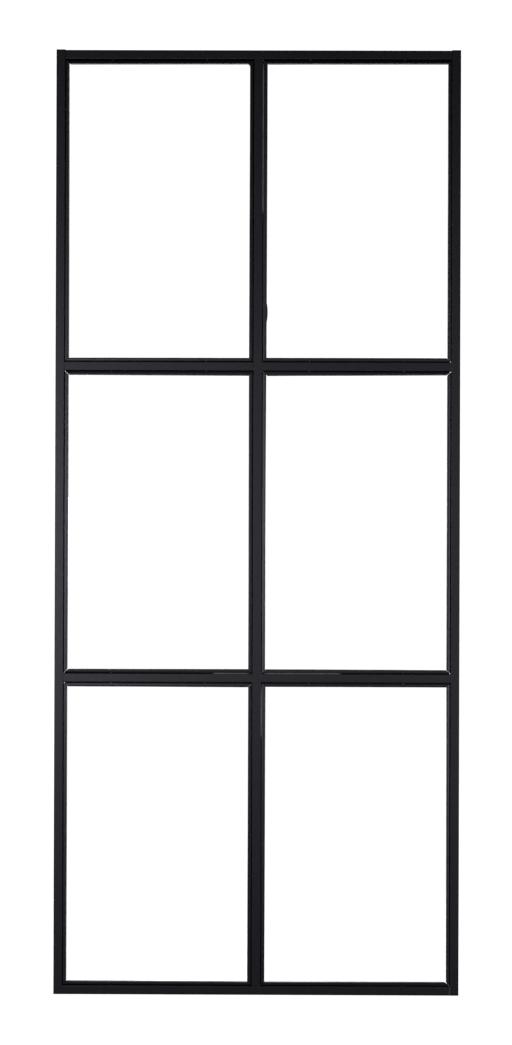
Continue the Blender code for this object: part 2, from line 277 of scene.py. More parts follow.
GLASS_CLEAN = (0.985, 0.997, 0.990)
GLASS_MARKED = (0.975, 0.985, 0.980)
GLASS_MARK_SCALE = 9.0
GLASS_MARK_BAND = (0.62, 0.80)
GLASS_MARK_ROUGHNESS = 0.012
GLASS_IOR = 1.52
GLASS_WAVE_SCALE = 6.0
GLASS_WAVE_STRETCH = (0.3, 1.0, 1.0)
GLASS_WAVE_DEPTH = 0.0002
GLASS_WAVE_STRENGTH = 0.03

STEEL_COLOUR = grey(0.42, 0.04)
STEEL_ROUGHNESS = 0.42
BLACK_STEEL_COLOUR = grey(0.012)
BLACK_STEEL_ROUGHNESS = 0.55
BARE_WELD_COLOUR = grey(0.16, 0.02)
BARE_WELD_ROUGHNESS = 0.45
SCRATCH_SCALE = 4200.0
SCRATCH_STRETCH = (1.0, 1.0, 0.12)
SCRATCH_DARKEST = 0.7
SCRATCH_PALEST = 1.25
SCRATCH_ROUGHNESS = 0.08     # how far the roughness varies
SCRATCH_DEPTH = 0.00002
SCRATCH_STRENGTH = 0.3

# Studio
WHITE = (1.0, 1.0, 1.0, 1.0)
BACKDROP_RADIUS = 50.0
BACKDROP_SUBDIVISIONS = 4
BACKDROP_BRIGHTNESS = 1.12
FLOOR_RADIUS = 6.0
FLOOR_SEGMENTS = 96
FLOOR_DROP = 0.0005          # below the part's underside
FLOOR_FADE_FROM = 1.6
FLOOR_FADE_TO = 5.0
FLOOR_GLOW = 0.92
FLOOR_COLOUR = 0.80
FLOOR_MOTTLED = 0.99         # times its colour
FLOOR_MOTTLE_SCALE = 1.2
FLOOR_ROUGHNESS = 0.9
WORLD_COLOUR = (0.98, 0.96, 1.0, 1.0)
WORLD_ABOVE = 0.020
WORLD_BELOW = 0.080
WORLD_HORIZON = (-0.25, 0.15)  # slopes between which it changes from below to above
SIDE_GLOW = 0.35             # pale flats far to either side, which only steep reflections reach
SIDE_GLOW_FROM = 0.955
SIDE_GLOW_FULL = 0.99
LIGHT_COLOUR = (1.03, 0.965, 1.165)
KEY_PLACE = (-1.71, -3.0, 1.02)
KEY_SIZE = (2.74, 0.25)
KEY_POWER = 27.0
FILL_PLACE = (1.55, -3.0, 0.85)
FILL_SIZE = (0.9, 0.9)
FILL_POWER = 16.0
TOP_PLACE = (0.0, 1.9, 4.4)
TOP_SIZE = 3.2
TOP_POWER = 60.0
REAR_PLACES = ((-3.3, 3.3, 1.3), (3.3, 3.3, 1.3))
REAR_SIZE = (2.8, 2.0)
REAR_POWER = 60.0
BACK_PLACE = (0.0, 5.0, 1.0)
BACK_SIZE = (3.2, 1.4)
BACK_POWER = 8.0
AIM = (0.0, 0.0, 1.05)


# Openings and their sides

def opening(pane):
    """Lowest and highest corner of the hole between the bars round a pane."""
    low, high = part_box(f"gasket_{pane}")
    room = Vector((CONTACT_GAP, 0.0, CONTACT_GAP))
    return low - room, high + room


class Side:
    """One side of an opening. Reach runs from the bar into the opening, depth along +Y."""

    def __init__(self, pane, side):
        low, high = opening(pane)
        upright = side.startswith("jamb")
        self.along = Vector((0.0, 0.0, 1.0)) if upright else Vector((1.0, 0.0, 0.0))
        self.out = {
            "jamb_left": Vector((1.0, 0.0, 0.0)),
            "jamb_right": Vector((-1.0, 0.0, 0.0)),
            "sill": Vector((0.0, 0.0, 1.0)),
            "head": Vector((0.0, 0.0, -1.0)),
        }[side]
        self.corner = Vector((
            high.x if side == "jamb_right" else low.x,
            0.0,
            high.z if side == "head" else low.z,
        ))
        self.length = high.z - low.z if upright else high.x - low.x

    def point(self, reach, depth, along):
        return self.corner + self.out * reach + Vector((0.0, depth, 0.0)) + self.along * along


def corner_gaps(pane, side):
    """The mitre gaps at the two ends of a side, each from the bar's corner to the glass side."""
    if side.startswith("jamb"):
        corners = (("sill", side), ("head", side))
    else:
        corners = ((side, "jamb_left"), (side, "jamb_right"))
    return [OPEN_MITRES.get((pane, *corner), TIGHT_MITRE) for corner in corners]


def gap_at(gap, across):
    """A mitre gap's width at a share of the way from the bar's corner to the glass side."""
    outer, middle, inner = gap
    if across < 0.5:
        return outer + (middle - outer) * 2.0 * across
    return middle + (inner - middle) * (2.0 * across - 1.0)


def arc(centre, radius, start, end, steps):
    """Points of an arc, angles in quarter turns from +reach towards +depth."""
    points = []
    for step in range(steps + 1):
        angle = math.pi / 2 * (start + (end - start) * step / steps)
        points.append((centre[0] + radius * math.cos(angle), centre[1] + radius * math.sin(angle)))
    return points


def smooth(value):
    """A soft step from 0 to 1."""
    value = min(max(value, 0.0), 1.0)
    return value * value * (3.0 - 2.0 * value)


def wander(name, share):
    """A slow, repeatable wave along a strip, from -1 to 1, different for each name."""
    seed = sum(ord(letter) * (place + 1) for place, letter in enumerate(name))
    start = seed % WANDER_STARTS / WANDER_STARTS * math.tau
    return sum(
        height * math.sin(math.tau * share * turns + times * start)
        for height, turns, times in WANDER_SINES
    )


# Closed forms

def stitch(solid, rings):
    """The faces of a closed form through a row of rings, with its two ends last."""
    faces = []
    count = len(rings[0])
    for ring, following in zip(rings, rings[1:]):
        for number in range(count):
            after = (number + 1) % count
            corners = (ring[number], ring[after], following[after], following[number])
            faces.append(solid.faces.new(corners))
    faces.append(solid.faces.new(rings[0]))
    faces.append(solid.faces.new(rings[-1]))
    return faces


def sweep(solid, side, section, shares, shape, gaps):
    """A closed section swept along one side of an opening, with mitred ends."""
    widest = max(reach for reach, depth in section)
    rings = []
    for share in shares:
        ring = []
        for plain_reach, plain_depth in section:
            reach, depth = shape(plain_reach, plain_depth, share)
            cuts = [gap_at(gap, min(reach / widest, 1.0)) * MM * ROOT_HALF for gap in gaps]
            first = reach + cuts[0]
            last = side.length - reach - cuts[1]
            ring.append(solid.verts.new(side.point(reach, depth, first + (last - first) * share)))
        rings.append(ring)
    for end in stitch(solid, rings)[-2:]:
        end.material_index = 1


def dressed(name, solid, materials, replaced=()):
    """A finished piece that rides on the frame and stands for the named nodes."""
    bmesh.ops.recalc_face_normals(solid, faces=solid.faces)
    mesh = bpy.data.meshes.new(name)
    solid.to_mesh(mesh)
    solid.free()
    for material in materials:
        mesh.materials.append(material)
    mesh.shade_smooth()
    mesh.set_sharp_from_angle(angle=math.radians(SHARP_ANGLE))
    piece = bpy.data.objects.new(name, mesh)
    bpy.context.scene.collection.objects.link(piece)
    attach(piece, BODY)
    if replaced:
        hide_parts(*replaced)


# Glazing beads

def bead_section(joint, reach, front, back):
    """A channel of thin sheet that opens towards the bar."""
    lip = arc((joint + BEAD_LIP, front + BEAD_LIP), BEAD_LIP, -2.0, -1.0, LIP_STEPS)
    face_from, face_to = joint + BEAD_LIP + FLAT_MARGIN, reach - BEAD_FOLD - FLAT_MARGIN
    face = [
        (face_from + (face_to - face_from) * step / CROWN_STEPS, front)
        for step in range(CROWN_STEPS + 1)
    ]
    fold = arc((reach - BEAD_FOLD, front + BEAD_FOLD), BEAD_FOLD, -1.0, 0.0, FOLD_STEPS)
    flank = [(reach, front + BEAD_FOLD + FLAT_MARGIN), (reach, back)]
    inner_corner = (reach - BEAD_WALL - BEAD_INNER_FOLD, front + BEAD_WALL + BEAD_INNER_FOLD)
    inner_fold = arc(inner_corner, BEAD_INNER_FOLD, 0.0, -1.0, LIP_STEPS)
    return [
        *lip, *face, *fold, *flank,
        (joint, back), (joint, back - BEAD_WALL), (reach - BEAD_WALL, back - BEAD_WALL),
        *inner_fold, (joint, front + BEAD_WALL),
    ]


def bead_shares(side, bead):
    """Where the rings of a bead lie, closer together along the bulge of the bulged bead."""
    shares = {number / BEAD_STATIONS for number in range(BEAD_STATIONS + 1)}
    if bead == BULGED_BEAD:
        for number in range(BULGE_STATIONS + 1):
            along = BULGE_ABOVE_TRANSOM + BULGE_LENGTH * (number / BULGE_STATIONS - 0.5)
            shares.add(along / side.length)
    return sorted(shares)


def bulge_rise(along):
    """How far the bulged bead's glass side stands out at a distance along it."""
    radius = BULGE_LENGTH ** 2 / (8 * BULGE_RISE) + BULGE_RISE / 2
    offset = along - BULGE_ABOVE_TRANSOM
    if abs(offset) >= BULGE_LENGTH / 2:
        return 0.0
    return math.sqrt(radius ** 2 - offset ** 2) - radius + BULGE_RISE


def sight_edge(reaches, share, name):
    """How far the front gasket lip of one side reaches into the opening."""
    return (reaches[0] + (reaches[1] - reaches[0]) * share) * MM + BEAD_BOW * wander(name, share)


def make_bead(pane, side_name, paint, steel):
    """One glazing bead with its own joint, reach, lean and slight bow."""
    name = f"bead_{pane}_{side_name}"
    low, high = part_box(name)
    front, back = low.y, high.y
    side = Side(pane, side_name)
    joints, reaches, lean = BEAD_FITS[pane, side_name]
    usual_joint, usual_reach = USUAL_JOINT * MM, USUAL_REACH * MM
    bulged = (pane, side_name) == BULGED_BEAD
    fade_from, fade_to = BULGE_FADE

    def shape(reach, depth, share):
        across = (reach - usual_joint) / (usual_reach - usual_joint)
        joint = (joints[0] + (joints[1] - joints[0]) * share) * MM
        edge = sight_edge(reaches, share, name) - LIP_SHOWS * MM
        forward = (back - depth) / (back - front)
        if bulged:
            grown = smooth((forward - fade_from) / (fade_to - fade_from))
            edge += bulge_rise(share * side.length) * grown
        sink = (lean * (1.0 - across) + BEAD_CROWN * (2.0 * across - 1.0) ** 2) * MM * forward
        bow = BEAD_BOW * wander(name + "y", share) * forward
        return joint + across * (edge - joint), depth + sink + bow

    solid = bmesh.new()
    section = bead_section(usual_joint, usual_reach, front, back)
    shares = bead_shares(side, (pane, side_name))
    sweep(solid, side, section, shares, shape, corner_gaps(pane, side_name))
    dressed(f"{name}_dressed", solid, (paint, steel), (name,))


# Painted highlights in the joints

def strip_section(bar_front, bead_front):
    """A fillet from a bar's rounded edge down to a bead's face, as reach and depth."""
    clear = BAR_ROUNDING + WELD_CLEARANCE
    centre = (-BAR_ROUNDING, bar_front + BAR_ROUNDING)
    turn = math.acos((BAR_ROUNDING - STRIP_ON_BAR) / clear) / (math.pi / 2)
    root = arc(centre, clear, -turn, 0.0, WELD_ARC_STEPS)
    sunk = bead_front + WELD_CLEARANCE
    start = Vector(root[0])
    corner = Vector((STRIP_SWELL[0], bar_front + STRIP_SWELL[1]))
    end = Vector((STRIP_ON_BEAD, sunk))
    crest = []
    for step in range(STRIP_STEPS, 0, -1):
        share = step / STRIP_STEPS
        crest.append(tuple(start.lerp(corner, share).lerp(corner.lerp(end, share), share)))
    return [*root, (WELD_CLEARANCE, sunk), *crest]


def make_joint_strip(number, pane, side_name, begins, ends, highlight_paint):
    """A pale strip that fills the joint beside one bead: a painted highlight of the bar's rounded edge.
    """
    side = Side(pane, side_name)
    bar_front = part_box("stile_left")[0].y
    bead_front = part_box(f"bead_{pane}_{side_name}")[0].y

    def shape(reach, depth, share):
        full = smooth(min(share - begins, ends - share) / STRIP_TAPER)
        width = STRIP_END_WIDTH + (1.0 - STRIP_END_WIDTH) * full
        return reach * width + BEAD_BOW * wander(f"strip_{number}", share), depth

    solid = bmesh.new()
    section = strip_section(bar_front, bead_front)
    shares = [
        begins + (ends - begins) * station / STRIP_STATIONS
        for station in range(STRIP_STATIONS + 1)
    ]
    sweep(solid, side, section, shares, shape, (TIGHT_MITRE, TIGHT_MITRE))
    dressed(f"joint_strip_{number}", solid, (highlight_paint, highlight_paint))


# Gaskets

def gasket_section(pane, gasket_front, gasket_back, reach):
    """A channel round the glass edge, with a soft lip on each side."""
    glass_low, glass_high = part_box(f"glass_{pane}")
    low = opening(pane)[0]
    edge = glass_low.x - low.x - CONTACT_GAP
    near, far = glass_low.y - CONTACT_GAP, glass_high.y + CONTACT_GAP
    lip = (near - gasket_front) / 2
    front_lip = arc((reach - lip, gasket_front + lip), lip, -1.0, 1.0, FOLD_STEPS)
    back_lip = arc((reach - lip, gasket_back - lip), lip, -1.0, 1.0, FOLD_STEPS)
    return [
        (CONTACT_GAP, gasket_front), *front_lip, (edge, near),
        (edge, far), *back_lip, (CONTACT_GAP, gasket_back),
    ]


def make_gasket(pane, rubber):
    """Four lengths of gasket round a pane, with a gap wherever the beads' mitre shows daylight."""
    node = f"gasket_{pane}"
    low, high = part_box(node)
    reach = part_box(f"bead_{pane}_sill")[1].z - opening(pane)[0].z - GASKET_UNDER_BEAD
    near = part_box(f"glass_{pane}")[0].y - CONTACT_GAP
    section = gasket_section(pane, low.y, high.y, reach)
    shares = [number / GASKET_STATIONS for number in range(GASKET_STATIONS + 1)]
    solid = bmesh.new()
    for side_name in SIDES:
        bead = f"bead_{pane}_{side_name}"
        reaches = BEAD_FITS[pane, side_name][1]
        gaps = [
            GASKET_CORNER_CUT if gap == TIGHT_MITRE else tuple(width + GASKET_SHRINK for width in gap)
            for gap in corner_gaps(pane, side_name)
        ]

        def shape(section_reach, depth, share):
            if depth < near:
                edge = sight_edge(reaches, share, bead)
            else:
                edge = reach + GASKET_WAVER * wander(node + side_name, share)
            return section_reach * edge / reach, depth

        sweep(solid, Side(pane, side_name), section, shares, shape, gaps)
    dressed(f"{node}_dressed", solid, (rubber, rubber), (node,))


# Small fittings

def make_clip(number, pane, side_name, height, steel):
    """A sprung tab whose nose fills the joint between a bar and its bead."""
    side = Side(pane, side_name)
    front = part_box(f"bead_{pane}_{side_name}")[0].y
    along = height - side.corner.z
    nose = [(0.0, CLIP_DEPTH)]
    for step in range(CLIP_STATIONS + 1):
        turn = math.pi * step / CLIP_STATIONS
        nose.append((CLIP_WIDTH * (0.5 - 0.5 * math.cos(turn)), -CLIP_CROWN * math.sin(turn)))
    nose.append((CLIP_WIDTH, CLIP_DEPTH))
    middle = CLIP_WIDTH / 2
    solid = bmesh.new()
    rings = []
    for station in range(CLIP_STATIONS + 1):
        share = 2.0 * station / CLIP_STATIONS - 1.0
        swell = math.sqrt(1.0 - CLIP_ROUNDING * share * share)
        place = along + share * CLIP_LENGTH / 2
        rings.append([
            solid.verts.new(side.point(
                CLIP_CLEARANCE + middle + (reach - middle) * swell, front + depth * swell, place
            ))
            for reach, depth in nose
        ])
    stitch(solid, rings)
    dressed(f"bead_clip_{number}", solid, (steel,))


def make_fillet(rubber):
    """A smear of gasket rubber in the corner between the head and the right jamb of one pane."""
    head = Side(FILLET_PANE, "head")
    down = BEAD_FITS[FILLET_PANE, "head"][1][1] * MM
    inward = BEAD_FITS[FILLET_PANE, "jamb_right"][1][1] * MM
    bead_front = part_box(f"bead_{FILLET_PANE}_head")[0].y
    glass_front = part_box(f"glass_{FILLET_PANE}")[0].y
    from_jamb, from_head = inward - FILLET_LAP, down - FILLET_LAP
    outline = [(from_jamb, from_head)]
    for step in range(FILLET_STEPS + 1):
        angle = math.pi / 2 * step / FILLET_STEPS
        across = FILLET_ACROSS * (1.0 - math.sin(angle))
        drop = FILLET_DOWN * (1.0 - math.cos(angle))
        outline.append((inward + across, down + drop))
    layers = [(glass_front - FILLET_OFF_GLASS, 1.0)]
    layers += [(bead_front + behind, size) for behind, size in FILLET_LAYERS]
    solid = bmesh.new()
    rings = []
    for depth, size in layers:
        rings.append([
            solid.verts.new(head.point(
                from_head + (drop - from_head) * size, depth,
                head.length - from_jamb - (across - from_jamb) * size
            ))
            for across, drop in outline
        ])
    stitch(solid, rings)
    dressed("corner_smear", solid, (rubber,))


# Welds

def weld_section(sink):
    """A weld's section: distance from the through bar's side, and depth from the bars' faces."""
    clear = BAR_ROUNDING + WELD_CLEARANCE
    crest = WELD_SINK + sink
    rise = math.asin((BAR_ROUNDING - crest) / clear) / (math.pi / 2)
    root = arc((-BAR_ROUNDING, BAR_ROUNDING), clear, 0.0, -rise, WELD_ARC_STEPS)
    wall = BUTT_GAP - WELD_CLEARANCE
    middle = ((root[-1][0] + wall) / 2, crest + WELD_DISH)
    return [*root, middle, (wall, crest), (wall, BAR_ROUNDING)]


def weld_strip(solid, corner, across, along, inward, length, bare):
    """One weld from a corner of the butting bar's face, along its end."""
    rings = []
    for station in range(WELD_STATIONS + 1):
        share = 0.5 - 0.5 * math.cos(math.pi * station / WELD_STATIONS)
        place = WELD_CLEARANCE + (length - 2 * WELD_CLEARANCE) * share
        inset = max(BAR_ROUNDING - min(place, length - place), 0.0)
        sink = BAR_ROUNDING - math.sqrt(BAR_ROUNDING ** 2 - inset ** 2)
        rings.append([
            solid.verts.new(corner + across * reach + inward * depth + along * place)
            for reach, depth in weld_section(sink)
        ])
    for face in stitch(solid, rings):
        face.material_index = 1 if bare else 0


def bar_ends():
    """Each weld's bar and end, corner on the through bar, directions across and along, and length."""
    right, up = Vector((1.0, 0.0, 0.0)), Vector((0.0, 0.0, 1.0))
    ends = []
    for column in ("left", "right"):
        for name, below, above in (
            (f"transom_upper_{column}", f"middle_{column}", f"top_{column}"),
            (f"transom_lower_{column}", f"bottom_{column}", f"middle_{column}"),
        ):
            base, top = opening(below)[1].z, opening(above)[0].z
            low, high = opening(above)
            ends.append((name, "left", Vector((low.x, 0.0, base)), right, up, top - base))
            ends.append((name, "right", Vector((high.x, 0.0, base)), -right, up, top - base))
    low, high = opening("bottom_left")[0], opening("bottom_right")[1]
    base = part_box("bottom_rail")[0].z
    ends.append(("bottom_rail", "left", Vector((low.x, 0.0, base)), right, up, low.z - base))
    ends.append(("bottom_rail", "right", Vector((high.x, 0.0, base)), -right, up, low.z - base))
    west, east = opening("top_left")[1], opening("top_right")[0]
    ends.append(("mullion", "bottom", Vector((west.x, 0.0, low.z)), up, right, east.x - west.x))
    ends.append(("mullion", "top", Vector((west.x, 0.0, west.z)), -up, right, east.x - west.x))
    return ends


def make_welds(paint, bare_steel):
    """Filled grooves, front and back, at the ends of every bar but the top rail."""
    bar_low, bar_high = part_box("stile_left")
    faces = (
        ("front", Vector((0.0, bar_low.y, 0.0)), Vector((0.0, 1.0, 0.0))),
        ("back", Vector((0.0, bar_high.y, 0.0)), Vector((0.0, -1.0, 0.0))),
    )
    solids = {}
    for bar, end, corner, across, along, length in bar_ends():
        if bar not in solids:
            solids[bar] = bmesh.new()
        for face, offset, inward in faces:
            bare = (bar, end, face) == BARE_WELD
            weld_strip(solids[bar], corner + offset, across, along, inward, length, bare)
    for bar, solid in solids.items():
        dressed(f"{bar}_welds", solid, (paint, bare_steel))


# Finishes

def add_node(tree, kind, inputs=None, **settings):
    """A node with its settings and the values of its inputs."""
    made = tree.nodes.new(kind)
    for key, value in settings.items():
        setattr(made, key, value)
    for key, value in (inputs or {}).items():
        if isinstance(value, bpy.types.NodeSocket):
            tree.links.new(value, made.inputs[key])
        else:
            made.inputs[key].default_value = value
    return made


def noise_of(tree, coords, scale, detail=2.0, roughness=0.5):
    inputs = {"Vector": coords, "Scale": scale, "Detail": detail, "Roughness": roughness}
    return add_node(tree, "ShaderNodeTexNoise", inputs).outputs["Fac"]


def ranged(tree, value, band, to_low, to_high):
    """A value's band stretched to a new range, which it doesn't leave."""
    low, high = band
    inputs = {"Value": value, "From Min": low, "From Max": high, "To Min": to_low, "To Max": to_high}
    return add_node(tree, "ShaderNodeMapRange", inputs).outputs["Result"]


def joined(tree, operation, first, second=0.0):
    return add_node(tree, "ShaderNodeMath", {0: first, 1: second}, operation=operation).outputs[0]


def blended(tree, share, first, second):
    """One colour fading into another by a share; a colour is three numbers or a socket."""
    mix = add_node(tree, "ShaderNodeMix", {0: share}, data_type="RGBA")
    for key, value in ((MIX_FIRST, first), (MIX_SECOND, second)):
        if isinstance(value, bpy.types.NodeSocket):
            tree.links.new(value, mix.inputs[key])
        else:
            mix.inputs[key].default_value = (*value, 1.0)
    return mix.outputs[MIX_RESULT]


def scaled(colour, factor):
    return tuple(channel * factor for channel in colour)


def stretched(tree, coords, scale):
    return add_node(tree, "ShaderNodeMapping", {"Vector": coords, "Scale": scale}).outputs["Vector"]


def new_material(name):
    """A material with its node tree, its shader and its object coordinates."""
    material = bpy.data.materials.new(name)
    material.use_nodes = True
    tree = material.node_tree
    coords = add_node(tree, "ShaderNodeTexCoord").outputs["Object"]
    return material, tree, tree.nodes["Principled BSDF"], coords


def bumped(tree, shader, height, depth, strength, normal=None):
    inputs = {"Height": height, "Distance": depth, "Strength": strength}
    if normal is not None:
        inputs["Normal"] = normal
    bump = add_node(tree, "ShaderNodeBump", inputs)
    tree.links.new(bump.outputs["Normal"], shader.inputs["Normal"])


def edge_share(tree, radius, bend):
    """1 at sharp edges, 0 on flat faces, and the normal with its edges rounded by that radius."""
    bevel = add_node(tree, "ShaderNodeBevel", {"Radius": radius}, samples=EDGE_SAMPLES)
    rounded = bevel.outputs["Normal"]
    flat = add_node(tree, "ShaderNodeNewGeometry").outputs["Normal"]
    facing = add_node(tree, "ShaderNodeVectorMath", {0: rounded, 1: flat}, operation="DOT_PRODUCT")
    return ranged(tree, facing.outputs["Value"], bend, 1.0, 0.0), rounded


def powder_coat(name, colour, roughness):
    """Satin powder coat: fine orange peel, cloudy tone and thin paint along the edges."""
    material, tree, shader, coords = new_material(name)
    slow = noise_of(tree, coords, PAINT_SLOW_SCALE, detail=3.0)
    clouds = noise_of(tree, coords, PAINT_CLOUD_SCALE, detail=3.0, roughness=0.55)
    fine = noise_of(tree, coords, PAINT_FINE_SCALE)
    peel = noise_of(tree, coords, PEEL_SCALE, roughness=0.6)
    slow_tone = ranged(tree, slow, NOISE_BAND, 0.0, PAINT_SLOW_SHARE)
    fine_tone = ranged(tree, fine, NOISE_BAND, 0.0, PAINT_FINE_SHARE)
    cloud_tone = ranged(tree, clouds, NOISE_BAND, 0.0, PAINT_CLOUD_SHARE)
    tone = joined(tree, "ADD", joined(tree, "ADD", slow_tone, fine_tone), cloud_tone)
    body = blended(tree, tone, scaled(colour, PAINT_DARKEST), scaled(colour, PAINT_PALEST))
    edge, rounded = edge_share(tree, WEAR_RADIUS, WEAR_BEND)
    breaks = noise_of(tree, coords, WEAR_SCALE, detail=4.0, roughness=0.7)
    thin = joined(tree, "MULTIPLY", edge, ranged(tree, breaks, WEAR_BREAKS, 0.0, WEAR_STRENGTH))
    tree.links.new(blended(tree, thin, body, WEAR_COLOUR), shader.inputs["Base Color"])
    patches = ranged(tree, clouds, NOISE_BAND, roughness - PAINT_PATCHES, roughness + PAINT_PATCHES)
    grain = ranged(tree, fine, NOISE_BAND, -PAINT_GRAIN, PAINT_GRAIN)
    tree.links.new(joined(tree, "ADD", patches, grain), shader.inputs["Roughness"])
    shader.inputs["IOR"].default_value = PAINT_IOR
    bumped(tree, shader, peel, PEEL_DEPTH, PEEL_STRENGTH, rounded)
    return material


def rubber_finish():
    """Black gasket rubber with a patchy pale bloom."""
    material, tree, shader, coords = new_material("gasket_rubber")
    clouds = noise_of(tree, coords, RUBBER_BLOOM_SCALE, detail=4.0, roughness=0.65)
    bloom = ranged(tree, clouds, RUBBER_BLOOM_BAND, 0.0, 1.0)
    colour = blended(tree, bloom, RUBBER_COLOUR, scaled(RUBBER_COLOUR, RUBBER_BLOOM))
    tree.links.new(colour, shader.inputs["Base Color"])
    tree.links.new(ranged(tree, bloom, (0.0, 1.0), *RUBBER_ROUGHNESS), shader.inputs["Roughness"])
    grain = noise_of(tree, coords, RUBBER_GRAIN_SCALE, detail=3.0)
    bumped(tree, shader, grain, SOFT_GRAIN_DEPTH, SOFT_GRAIN_STRENGTH)
    return material


def highlight_strip_finish():
    """Pale and patchy colour of the joint strips: a painted highlight of the bars' rounded edges."""
    material, tree, shader, coords = new_material("painted_joint_highlight")
    clouds = noise_of(tree, coords, HIGHLIGHT_STRIP_PATCH_SCALE, detail=4.0, roughness=0.6)
    patches = ranged(tree, clouds, NOISE_BAND, 0.0, 1.0)
    darkest, palest = scaled(HIGHLIGHT_STRIP_COLOUR, HIGHLIGHT_STRIP_DARKEST), scaled(HIGHLIGHT_STRIP_COLOUR, HIGHLIGHT_STRIP_PALEST)
    tree.links.new(blended(tree, patches, darkest, palest), shader.inputs["Base Color"])
    tree.links.new(ranged(tree, patches, (0.0, 1.0), *HIGHLIGHT_STRIP_ROUGHNESS), shader.inputs["Roughness"])
    grain = noise_of(tree, coords, HIGHLIGHT_STRIP_GRAIN_SCALE, detail=3.0)
    bumped(tree, shader, grain, SOFT_GRAIN_DEPTH, SOFT_GRAIN_STRENGTH)
    return material


def plastic_finish():
    """Black moulded plastic with a fine texture and a few scuffs."""
    material, tree, shader, coords = new_material("cap_plastic")
    texture = noise_of(tree, coords, CAP_GRAIN_SCALE, detail=3.0, roughness=0.6)
    marks = noise_of(tree, coords, CAP_SCUFF_SCALE, detail=5.0, roughness=0.7)
    scuffs = ranged(tree, marks, CAP_SCUFF_BAND, 0.0, 1.0)
    colour = blended(tree, scuffs, CAP_COLOUR, scaled(CAP_COLOUR, CAP_SCUFFED))
    tree.links.new(colour, shader.inputs["Base Color"])
    tree.links.new(ranged(tree, texture, NOISE_BAND, *CAP_ROUGHNESS), shader.inputs["Roughness"])
    rounded = edge_share(tree, CAP_EDGE_RADIUS, CAP_EDGE_BEND)[1]
    bumped(tree, shader, texture, CAP_GRAIN_DEPTH, CAP_GRAIN_STRENGTH, rounded)
    return material


def glass_finish():
    """Clear float glass with a trace of roller wave and faint handling marks."""
    material, tree, shader, coords = new_material("clear_glass")
    clouds = noise_of(tree, coords, GLASS_MARK_SCALE, detail=5.0, roughness=0.7)
    marks = ranged(tree, clouds, GLASS_MARK_BAND, 0.0, 1.0)
    tree.links.new(blended(tree, marks, GLASS_CLEAN, GLASS_MARKED), shader.inputs["Base Color"])
    roughness = ranged(tree, marks, (0.0, 1.0), 0.0, GLASS_MARK_ROUGHNESS)
    tree.links.new(roughness, shader.inputs["Roughness"])
    shader.inputs["Transmission Weight"].default_value = 1.0
    shader.inputs["IOR"].default_value = GLASS_IOR
    waves = noise_of(tree, stretched(tree, coords, GLASS_WAVE_STRETCH), GLASS_WAVE_SCALE, detail=1.0)
    bumped(tree, shader, waves, GLASS_WAVE_DEPTH, GLASS_WAVE_STRENGTH)
    return material


def steel_finish(name, colour, roughness):
    """Sawn, blackened or ground steel with fine scratches."""
    material, tree, shader, coords = new_material(name)
    drawn = stretched(tree, coords, SCRATCH_STRETCH)
    scratches = noise_of(tree, drawn, SCRATCH_SCALE, detail=3.0, roughness=0.7)
    darkest, palest = scaled(colour, SCRATCH_DARKEST), scaled(colour, SCRATCH_PALEST)
    tree.links.new(blended(tree, scratches, darkest, palest), shader.inputs["Base Color"])
    smoothest, roughest = roughness - SCRATCH_ROUGHNESS, roughness + SCRATCH_ROUGHNESS
    tree.links.new(ranged(tree, scratches, NOISE_BAND, smoothest, roughest), shader.inputs["Roughness"])
    shader.inputs["Metallic"].default_value = 1.0
    bumped(tree, shader, scratches, SCRATCH_DEPTH, SCRATCH_STRENGTH)
    return material


def make_finishes():
    return {
        "frame": powder_coat("frame_powder_coat", PAINT_COLOUR, PAINT_ROUGHNESS),
        "bead": powder_coat("bead_powder_coat", BEAD_COLOUR, BEAD_ROUGHNESS),
        "rubber": rubber_finish(),
        "highlight_paint": highlight_strip_finish(),
        "plastic": plastic_finish(),
        "glass": glass_finish(),
        "cut_steel": steel_finish("cut_steel", STEEL_COLOUR, STEEL_ROUGHNESS),
        "black_steel": steel_finish("blackened_steel", BLACK_STEEL_COLOUR, BLACK_STEEL_ROUGHNESS),
        "bare_weld": steel_finish("bare_weld", BARE_WELD_COLOUR, BARE_WELD_ROUGHNESS),
    }


def dress_nodes(finishes):
    """Finishes for the model's own bars, panes and caps."""
    for name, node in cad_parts.items():
        if name.startswith("glass"):
            finish = finishes["glass"]
        elif "cap" in name:
            finish = finishes["plastic"]
        else:
            finish = finishes["frame"]
        node.data.materials.clear()
        node.data.materials.append(finish)


# Studio

def staged(name, solid, material):
    """A piece of the studio, which isn't part of the object."""
    mesh = bpy.data.meshes.new(name)
    solid.to_mesh(mesh)
    solid.free()
    mesh.materials.append(material)
    mesh.shade_smooth()
    placed = bpy.data.objects.new(name, mesh)
    bpy.context.scene.collection.objects.link(placed)
    return placed


